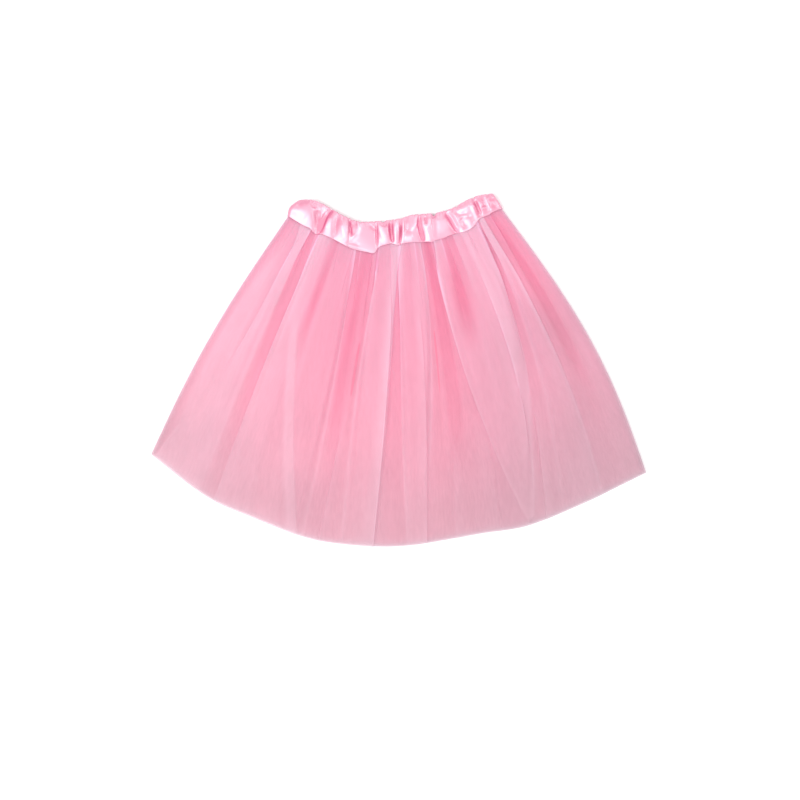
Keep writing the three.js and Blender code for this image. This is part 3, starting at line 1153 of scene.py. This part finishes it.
SATIN_CREASES = (
    # The left puff: a shallow dip at its top, a small curl beside the first gather
    Crease(((-95, 151), (-90, 155.5), (-84, 156.5)), -0.8, 3.2),
    Crease(((-79.5, 153.5), (-79, 150.5), (-75.5, 150)), -0.9, 1.2),
    Crease(((-97, 149), (-92, 143.5), (-86, 139)), 0.5, 4.0),
    # The first gathers
    Crease(((-70.8, 152.5), (-69, 148), (-68, 144)), 1.0, 1.5),
    Crease(((-75.8, 147), (-75, 137), (-75.8, 127)), -1.9, 2.8),
    Crease(((-61, 149.5), (-66, 144), (-69.5, 138), (-75.5, 124)), -2.8, 1.9),
    # The second puff: a soft dip between its two bright sides
    Crease(((-64.5, 142), (-66.5, 136), (-68.2, 131)), 0.7, 1.8),
    Crease(((-52.5, 136), (-51, 128), (-50, 119)), 0.7, 2.6),
    Crease(((-56, 143), (-58.5, 133), (-59, 122)), -0.8, 2.6),
    Crease(((-46, 141), (-45, 134), (-43.8, 124)), -1.6, 1.1),
    Crease(((-36.6, 137.5), (-37.2, 131), (-39, 125), (-44, 120.5)), 0.8, 1.9),
    Crease(((-41, 137.5), (-40.5, 134.5), (-38.5, 134)), -0.7, 1.0),
    # The plain flap, with a small fold at its top right
    Crease(((-28, 134.5), (-24.5, 131.5), (-21.5, 128.5)), -0.9, 1.8),
    Crease(((-50, 117), (-43, 117.5), (-36, 115)), -0.5, 1.6),
    Crease(((-38, 111), (-30, 109), (-20, 109)), 0.3, 6.0),
    Crease(((-20.6, 137), (-20.4, 128), (-20, 112)), -1.3, 1.0),
    # The middle gathers
    Crease(((-19, 136), (-17, 129), (-13.5, 121), (-11, 116)), 1.0, 2.3),
    Crease(((-18.5, 137), (-15.8, 133), (-12.5, 133), (-10.5, 136.5)), -0.8, 0.9),
    Crease(((-8, 137), (-7.3, 128), (-5.3, 117)), -2.4, 1.7),
    Crease(((-1.5, 139), (-3.5, 130), (-3.5, 117)), 0.8, 2.0),
    Crease(((2.2, 135), (2, 126), (0.8, 115)), -1.6, 1.0),
    Crease(((4.6, 140), (4.2, 130), (4.2, 119)), 0.8, 1.2),
    # The panel with a squarish dip
    Crease(((6.5, 141), (7, 128.5), (13, 128)), -0.7, 1.6),
    Crease(((5, 122.5), (9, 122), (13.5, 122.5)), 0.9, 2.4),
    Crease(((16.8, 143), (16.4, 136.5), (13.2, 128.5)), 0.8, 1.7),
    Crease(((19, 142), (19.4, 134), (21.2, 126), (23.5, 117)), -2.8, 1.6),
    Crease(((22.2, 142), (22.2, 135), (25.5, 129.5), (30, 118.5)), 0.9, 2.2),
    Crease(((29.2, 141), (28.6, 135.5), (26, 130.5)), 0.7, 1.6),
    Crease(((24.8, 142), (25.5, 134.5)), -1.2, 1.3),
    # The pale flap and the gather on its right
    Crease(((34, 140), (34.5, 129), (35, 121)), -0.4, 2.6),
    Crease(((38, 140), (41, 132), (43, 127)), 0.3, 4.0),
    Crease(((43.8, 146), (48.5, 138.5), (52.5, 131), (57, 125.5)), -2.6, 2.1),
    Crease(((45.5, 148), (52, 142), (56, 134.5), (61, 129)), 1.1, 2.0),
    # The large puff: two curved folds
    Crease(((54, 148.5), (58, 148.3), (62, 149.5), (66, 153)), 0.9, 2.0),
    Crease(((52, 145.5), (57, 143.5), (63, 144.5)), -0.6, 1.8),
    Crease(((60.5, 142.5), (65.5, 140.5), (67.6, 136), (66, 131), (61, 128.5)), 1.0, 2.0),
    Crease(((56.5, 139), (60, 136.5), (61, 132.5)), -0.9, 2.4),
    Crease(((67.8, 154), (71, 149), (74.2, 142.5)), 1.2, 1.4),
    Crease(((70, 157), (73.2, 149.5), (76.6, 142)), -1.8, 1.2),
    # The last piece: a squarish pocket, a bright line and the turned end
    Crease(((74.5, 157.5), (80, 158), (82.5, 151), (78, 148)), -1.3, 2.3),
    Crease(((77.3, 150.5), (78.2, 149), (79, 148.5)), -0.8, 0.9),
    Crease(((80.3, 161), (83, 155.5), (85.5, 148.5)), 1.2, 1.5),
    Crease(((86.5, 161), (90.5, 155.5), (94.5, 151)), -1.6, 3.2),
)
SATIN_NOTCHES = (
    Notch(-83, 0.4, 0.8), Notch(-79, 0.5, 0.8), Notch(-75.5, 0.5, 0.7), Notch(-72, 0.7, 1.5),
    Notch(-67, 0.5, 0.7), Notch(-62, 0.9, 1.4), Notch(-55, 0.6, 1.0), Notch(-50, 0.4, 0.7),
    Notch(-43, 0.8, 1.2), Notch(-39.5, 0.5, 0.7), Notch(-35.5, 0.8, 1.0), Notch(-31.5, 0.4, 0.7),
    Notch(-28, 0.5, 1.0), Notch(-23, 0.4, 0.8), Notch(-14.5, 1.6, 2.0), Notch(-7.5, 0.7, 1.3),
    Notch(-3.5, 0.4, 0.7), Notch(2.5, 0.8, 1.2), Notch(8, 0.4, 0.8), Notch(14, 0.4, 0.8),
    Notch(19, 0.6, 1.1), Notch(25, 0.4, 0.7), Notch(32.5, 3.0, 1.7), Notch(37, 0.5, 0.8),
    Notch(40, 0.4, 0.6), Notch(44, 0.8, 1.1), Notch(49, 0.5, 0.8), Notch(53.5, 1.3, 1.4),
    Notch(60, 0.4, 0.8), Notch(68.5, 1.5, 1.2), Notch(75, 0.4, 0.8), Notch(82, 0.5, 1.2),
)


@dataclass(frozen=True)
class Waistband:
    """A satin strip folded over an elastic: a ring of ruched casing, open along its lower edge.

    Swells and creases are at their full size along the middle of the casing and low at its lower
    edge, which is pressed down and tucked in. The back's swells turn inward, so that it rests flat.
    """

    wall: float = 2.4
    slit: float = 1.6
    height: float = 26.0
    front_steps: int = 760
    back_steps: int = 260
    turn_steps: int = 10
    outside_steps: int = 64
    fold_steps: int = 8
    inside_steps: int = 6
    tuck_steps: int = 3
    tucked_to: float = 2.2
    tuck_least: float = 0.4
    tuck_in: float = 0.3
    fold_reach: float = 1.2
    lie_on: float = 1.0
    end_bow: float = 2.6
    end_share: float = 0.06
    low_swell: float = 0.2
    low_crease: float = 0.35
    notch_pinch: float = 0.8
    pressed: float = 0.25
    deepest: float = 0.9
    back_inward: float = 1.2
    back_swell: float = 0.4
    least_inward: float = 0.1
    back_ends: float = 0.04
    full_shade_depth: float = 1.7
    gather_shade: float = 1.5
    hidden_tone: float = 0.65
    measured_column: int = 10
    flat_width: float = 0.5
    flat_length: float = 0.054
    finish: SatinFinish = field(default_factory=SatinFinish)

    @property
    def outer_radius(self) -> float:
        """Return how far the satin's outside lies from the middle of the laid ring."""
        return self.slit / 2 + self.wall

    def plan(self, along: np.ndarray, across: np.ndarray) -> tuple[np.ndarray, np.ndarray]:
        """Place a point of the band seen from above.

        Args:
            along: 0 at its left end to 1 at its right.
            across: 0 at its top edge to 1 at the seam.

        Returns:
            Its x and y.
        """
        seam_x = blend(PLAN.waist_left, PLAN.waist_right, along)
        top_x = BAND_TOP_X.at(seam_x)
        notched = sum(notch.depth_at(top_x) for notch in SATIN_NOTCHES)
        x = blend(top_x, seam_x, across)
        near_end = ease(self.end_share - along, 0.0, self.end_share)
        x = x - self.end_bow * np.sin(np.pi * np.clip(across, 0, 1)) * near_end
        y = blend(BAND_TOP_Y.at(seam_x) - notched * np.clip(1 - 2 * across, 0, 1), SEAM.at(seam_x), across)
        return x, y

    def rise(self, along: np.ndarray, across: np.ndarray) -> np.ndarray:
        """Swell and crease the satin.

        Args:
            along: 0 at the band's left end to 1 at its right.
            across: 0 at its top edge to 1 at the seam.

        Returns:
            How far the satin stands out.
        """
        along, across = np.broadcast_arrays(along, across)
        x, y = self.plan(along, across)
        inside = np.clip(across, 0.0, 1.0)
        swollen = np.zeros_like(x)
        for puff in SATIN_PUFFS:
            swollen = np.maximum(swollen, puff.rise_at(x, inside))
        creased = sum(crease.rise_at(x, y) for crease in SATIN_CREASES)
        held = ease(inside, -0.1, 0.34) * blend(1.0, self.low_swell, ease(inside, 0.45, 1.1))
        notched = sum(notch.depth_at(x) for notch in SATIN_NOTCHES) * (1 - ease(inside, 0.0, 0.22))
        folded = swollen * held + creased * blend(self.low_crease, 1.0, held) - self.notch_pinch * notched
        return np.maximum(folded, -self.deepest) - self.pressed * ease(across, 0.95, 1.04)

    def painted_light_tone(self, along: np.ndarray, across: np.ndarray) -> np.ndarray:
        """Tell how much painted highlight or painted shade the satin's pink gets.

        Args:
            along: 0 at the band's left end to 1 at its right.
            across: 0 at its top edge to 1 at the seam.

        Returns:
            0 for a painted highlight on the crest of a ridge, 0.5 on plain satin and 1 for painted shade in
            a deep gather.
        """
        x, y = self.plan(*np.broadcast_arrays(along, across))
        troughs = [crease for crease in SATIN_CREASES if crease.rise < 0]
        ridges = [crease for crease in SATIN_CREASES if crease.rise > 0]
        # Painted shade deepens the pink in the troughs, and a painted highlight pales it along the ridges.
        depth = -sum(trough.rise_at(x, y, wider=self.gather_shade) for trough in troughs)
        painted_highlight = sum(ridge.rise_at(x, y) for ridge in ridges)
        return 0.5 + 0.5 * (np.clip(depth / self.full_shade_depth, 0.0, 1.0) - np.clip(painted_highlight, 0.0, 1.0))

    def stand_out(self, along: np.ndarray, out: np.ndarray, risen: np.ndarray, lie: Lie) -> np.ndarray:
        """Tell how far the casing's outside stands from the middle of the laid ring.

        Args:
            along: The stretch's stations, 0 to 1 along the band.
            out: Each station's direction out of the ring, up or down, as a sine.
            risen: How far the satin swells there.
            lie: How the stretch lies.

        Returns:
            The distance, the same shape as risen.
        """
        if lie is Lie.FRONT:
            return self.outer_radius + risen
        if lie is Lie.TURN:
            return self.outer_radius + risen * np.clip(out, 0.0, 1.0)
        inward = ease(along, 0.0, self.back_ends) * ease(1 - along, 0.0, self.back_ends)
        drawn = np.clip(self.back_inward - self.back_swell * risen, 0.0, self.back_inward)
        return self.outer_radius - inward * (self.least_inward + drawn)

    def wrap(self, along: np.ndarray, out: np.ndarray, aside: np.ndarray, lie: Lie) -> np.ndarray:
        """Wrap the satin over the elastic along a stretch of the ring.

        Args:
            along: The stretch's stations, 0 to 1 along the band.
            out: Each station's direction out of the ring, up or down, as a sine.
            aside: The same sideways, as a cosine, less than 0 to the left.
            lie: How the stretch lies.

        Returns:
            Across by stations by 3, from the outside's lower edge over the top to the inside's.
        """
        inset = self.outer_radius / (PLAN.waist_right - PLAN.waist_left)
        place = blend(inset, 1 - inset, along)[None, :]
        seam_x = blend(PLAN.waist_left, PLAN.waist_right, place)
        lowest = 1 + np.maximum(SEAM.at(seam_x) - SATIN_LOWER.at(seam_x), -self.lie_on) / self.height
        if lie is not Lie.FRONT:
            lowest = np.full_like(place, 1 + self.lie_on / self.height)
        top = self.fold_reach / self.height
        outside = blend(lowest, top, np.linspace(0, 1, self.outside_steps)[:, None])
        bend = np.linspace(0, math.pi, self.fold_steps + 2)[1:-1][:, None]
        inside = np.linspace(top, 1.0, self.inside_steps)[:, None]
        outer = self.stand_out(along, out, self.rise(place, outside), lie)
        inner = self.slit / 2
        tuck = np.linspace(1.0, 0.0, self.tuck_steps, endpoint=False)[:, None]
        under = blend(outer[:1], np.minimum(outer[:1] - self.tuck_least, self.tucked_to), tuck)
        middle = (outer[-1:] + inner) / 2
        half = (outer[-1:] - inner) / 2
        columns = place.shape[1]
        radius = np.concatenate([
            under, outer, middle + half * np.cos(bend), np.full((self.inside_steps, columns), inner),
        ])
        across = np.concatenate([
            outside[:1] - self.tuck_in * tuck / self.height,
            outside,
            np.broadcast_to(top - top * np.sin(bend), (self.fold_steps, columns)),
            np.broadcast_to(inside, (self.inside_steps, columns)),
        ])
        x, y = self.plan(np.broadcast_to(place, across.shape), across)
        end_x, end_y = self.plan(np.where(aside < 0, 0.0, 1.0)[None, :] + 0 * across, across)
        reach = np.maximum(np.hypot(end_x - x, end_y - y), SMALLEST)
        sideways = radius * np.abs(aside)[None, :]
        return np.stack([
            x + (end_x - x) / reach * sideways,
            y + (end_y - y) / reach * sideways,
            self.outer_radius + radius * out[None, :],
        ], axis=-1)

    def build(self) -> bpy.types.Object:
        """Returns:
            The finished piece.
        """
        turn = math.pi * (0.5 - np.arange(1, self.turn_steps) / self.turn_steps)
        ahead = np.linspace(0, 1, self.front_steps + 1)
        behind = np.linspace(1, 0, self.back_steps + 1)
        points = np.concatenate([
            self.wrap(ahead, np.ones_like(ahead), np.zeros_like(ahead), Lie.FRONT),
            self.wrap(np.ones_like(turn), np.sin(turn), np.cos(turn), Lie.TURN),
            self.wrap(behind, -np.ones_like(behind), np.zeros_like(behind), Lie.BACK),
            self.wrap(np.zeros_like(turn), -np.sin(turn), -np.cos(turn), Lie.TURN),
        ], axis=1)
        steps = np.linalg.norm(np.diff(points, axis=1, append=points[:, :1]), axis=2)
        round_place = running_length(steps[self.outside_steps // 2][:-1])
        over = np.diff(points[:, self.measured_column], axis=0)
        over_place = running_length(np.linalg.norm(over, axis=1))
        uv = np.stack(np.broadcast_arrays(round_place[None, :], over_place[:, None]), axis=-1)
        painted_light_tone = np.full(points.shape[:2], self.hidden_tone)
        outside = slice(self.tuck_steps, self.tuck_steps + self.outside_steps)
        down_band = np.linspace(1.0, 0.0, self.outside_steps)[:, None]
        painted_light_tone[outside, :ahead.size] = self.painted_light_tone(ahead[None, :], down_band)
        piece = make_sheet("satin_waistband", points, uv, {"painted_light_tone": painted_light_tone})
        piece.data.materials.append(self.finish.build())
        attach(piece, "root")
        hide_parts("waistband")
        log.info("%s: %.0f mm of satin round the ring", piece.name, round_place[-1] / MM)
        return piece


@dataclass(frozen=True)
class SoftLight:
    """A soft square light that points at the skirt, in metres and watts."""

    name: str
    place: tuple[float, float, float]
    size: float
    power: float

    def build(self) -> None:
        """Set the light up."""
        data = bpy.data.lights.new(self.name, "AREA")
        data.size = self.size
        data.energy = self.power
        light = bpy.data.objects.new(self.name, data)
        light.location = self.place
        light.rotation_euler = Vector(self.place).to_track_quat("Z", "Y").to_euler()
        bpy.context.scene.collection.objects.link(light)


@dataclass(frozen=True)
class Studio:
    """A pale floor, soft studio light and the camera at the photograph's angle."""

    image_side: float = 740.8
    centre_x: float = 1.2
    centre_y: float = -27.8
    lens: float = 85.0
    sensor: float = 36.0
    floor_size: float = 6.0
    floor_drop: float = 0.0004
    background: float = 0.75
    plies_seen_through: int = 64
    light_bounces: int = 16
    floor: FloorFinish = field(default_factory=FloorFinish)
    lights: tuple[SoftLight, ...] = (
        SoftLight("key", (-0.9, -0.42, 1.65), size=1.2, power=24.5),
        SoftLight("fill", (1.3, 0.4, 1.6), size=0.6, power=12.0),
        SoftLight("top", (0.1, 1.2, 1.0), size=0.4, power=2.2),
    )

    def lay_floor(self) -> None:
        """Lay the floor, just under the skirt."""
        mesh = bpy.data.meshes.new("floor")
        half = self.floor_size / 2
        corners = [(-half, -half, 0), (half, -half, 0), (half, half, 0), (-half, half, 0)]
        mesh.from_pydata(corners, [], [(0, 1, 2, 3)])
        mesh.materials.append(self.floor.build())
        floor = bpy.data.objects.new("floor", mesh)
        bpy.context.scene.collection.objects.link(floor)
        floor.location.z = -self.floor_drop

    def build(self) -> None:
        """Set the floor, the lights, the background and the camera."""
        scene = bpy.context.scene
        self.lay_floor()
        for light in self.lights:
            light.build()
        world = bpy.data.worlds.new("studio")
        world.use_nodes = True
        world.node_tree.nodes["Background"].inputs["Color"].default_value = (1.0, 1.0, 1.0, 1.0)
        world.node_tree.nodes["Background"].inputs["Strength"].default_value = self.background
        scene.world = world
        camera_data = bpy.data.cameras.new("camera")
        camera_data.lens = self.lens
        camera_data.sensor_width = self.sensor
        camera = bpy.data.objects.new("camera", camera_data)
        distance = self.image_side * self.lens / self.sensor * MM
        camera.location = (self.centre_x * MM, self.centre_y * MM, distance)
        scene.collection.objects.link(camera)
        scene.camera = camera
        scene.view_settings.view_transform = "Standard"
        scene.cycles.transparent_max_bounces = self.plies_seen_through
        scene.cycles.max_bounces = self.light_bounces
        log.info("studio: camera %.2f m above the surface", distance)


# Down each net the colours turn greyer towards the hem, a painted shade.
OUTER_FINISH = TulleFinish(
    "outer_tulle",
    single=((0.96, 0.43, 0.63), (0.96, 0.54, 0.69), (0.91, 0.58, 0.67)),
    bunched_and_lit=((0.98, 0.78, 0.93), (0.98, 0.77, 0.89), (0.95, 0.7, 0.79)),
)
# The inner net is the same fabric as the outer; its deeper pinks are a painted shade.
INNER_SHADED_FINISH = TulleFinish(
    "inner_tulle",
    single=((0.94, 0.28, 0.43), (0.93, 0.35, 0.48), (0.84, 0.46, 0.54)),
    bunched_and_lit=((0.95, 0.4, 0.57), (0.94, 0.47, 0.6), (0.88, 0.56, 0.65)),
)


def main() -> None:
    """Build the skirt and its studio, piece by piece."""
    Studio().build()
    outer = TulleLayer(
        name="outer_tulle_net", node="outer_tulle", slot=Slot.OUTER_TULLE, finish=OUTER_FINISH,
        front_folds=OUTER_FRONT_FOLDS, back_folds=OUTER_BACK_FOLDS,
        front_z=OUTER_FRONT_Z, back_z=OUTER_BACK_Z, seam_z=5.2, flat_width=1.0, flat_length=0.285,
        lifted_by=INNER_WAVES,
    )
    inner = TulleLayer(
        name="inner_tulle_net", node="inner_tulle", slot=Slot.INNER_TULLE, finish=INNER_SHADED_FINISH,
        front_folds=INNER_FRONT_FOLDS, back_folds=INNER_BACK_FOLDS,
        front_z=INNER_FRONT_Z, back_z=INNER_BACK_Z, seam_z=4.6, flat_width=0.98, flat_length=0.281,
        last_down=0.996, front_steps=560, rows=60,
    )
    for part in (outer, inner, Waistband()):
        piece = part.build()
        log.info("built %s", piece.name)


if __name__ == "__main__":
    logging.basicConfig(level=logging.INFO, format="%(name)s: %(message)s")
    main()
